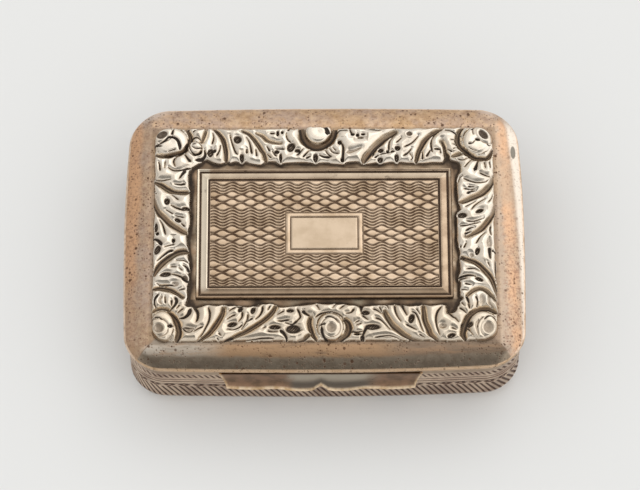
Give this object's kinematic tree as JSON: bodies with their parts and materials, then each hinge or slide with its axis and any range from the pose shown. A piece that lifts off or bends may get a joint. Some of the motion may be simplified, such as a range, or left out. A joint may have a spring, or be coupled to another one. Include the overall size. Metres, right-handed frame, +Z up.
{
  "type": "vinaigrette box",
  "caption": "Small rectangular silver box with a hinged, ornamented lid, a hinged pierced grille under it and a scented sponge.",
  "frame": {"origin": "the middle of the flat bottom, on the surface that the box stands on", "axes": "+X along the box's length, with the front at -Y and both hinges at +Y; +Z up"},
  "size_m": [0.04, 0.0304, 0.0102],
  "materials": {
    "silver": "worn polished silver, grey and brown in the recesses",
    "tarnished_silver": "polished silver with a warm tan tarnish",
    "silver_gilt": "gilded silver, satin",
    "hinge_pin": "drawn silver wire",
    "sponge": "dry natural sponge"
  },
  "bodies": {
    "case": {"case_wall": "silver", "case_base": "silver", "case_collar": "silver_gilt", "grille_ledge": "silver_gilt", "case_hinge_bearer": "silver", "case_hinge_knuckle_1": "silver", "case_hinge_knuckle_2": "silver", "case_hinge_knuckle_3": "silver", "case_hinge_knuckle_4": "silver", "lid_hinge_pin": "hinge_pin", "grille_case_knuckle_1": "silver_gilt", "grille_case_knuckle_2": "silver_gilt", "grille_hinge_pin": "hinge_pin", "sponge": "sponge"},
    "lid": {"lid_wall": "silver", "lid_rim": "tarnished_silver", "lid_top": "tarnished_silver", "lid_hinge_bearer": "silver", "lid_hinge_knuckle_1": "silver", "lid_hinge_knuckle_2": "silver", "lid_hinge_knuckle_3": "silver", "leaf_border": "silver", "panel_frame": "tarnished_silver", "engine_turned_panel": "tarnished_silver", "thumbpiece": "tarnished_silver"},
    "grille": {"grille_plate": "silver_gilt", "grille_knuckle_1": "silver_gilt"}
  },
  "joints": [
    {"name": "lid_hinge", "type": "hinge", "parent": "case", "child": "lid", "pos_m": [0, 0.01445, 0.0046], "axis": [-1, 0, 0], "range_deg": [0, 105]},
    {"name": "grille_hinge", "type": "hinge", "parent": "case", "child": "grille", "pos_m": [0, 0.01275, 0.00486], "axis": [-1, 0, 0], "range_deg": [0, 84]}
  ],
  "couplings": [
    {"joint": "grille_hinge", "follows": "lid_hinge", "ratio": 0.8}
  ]
}
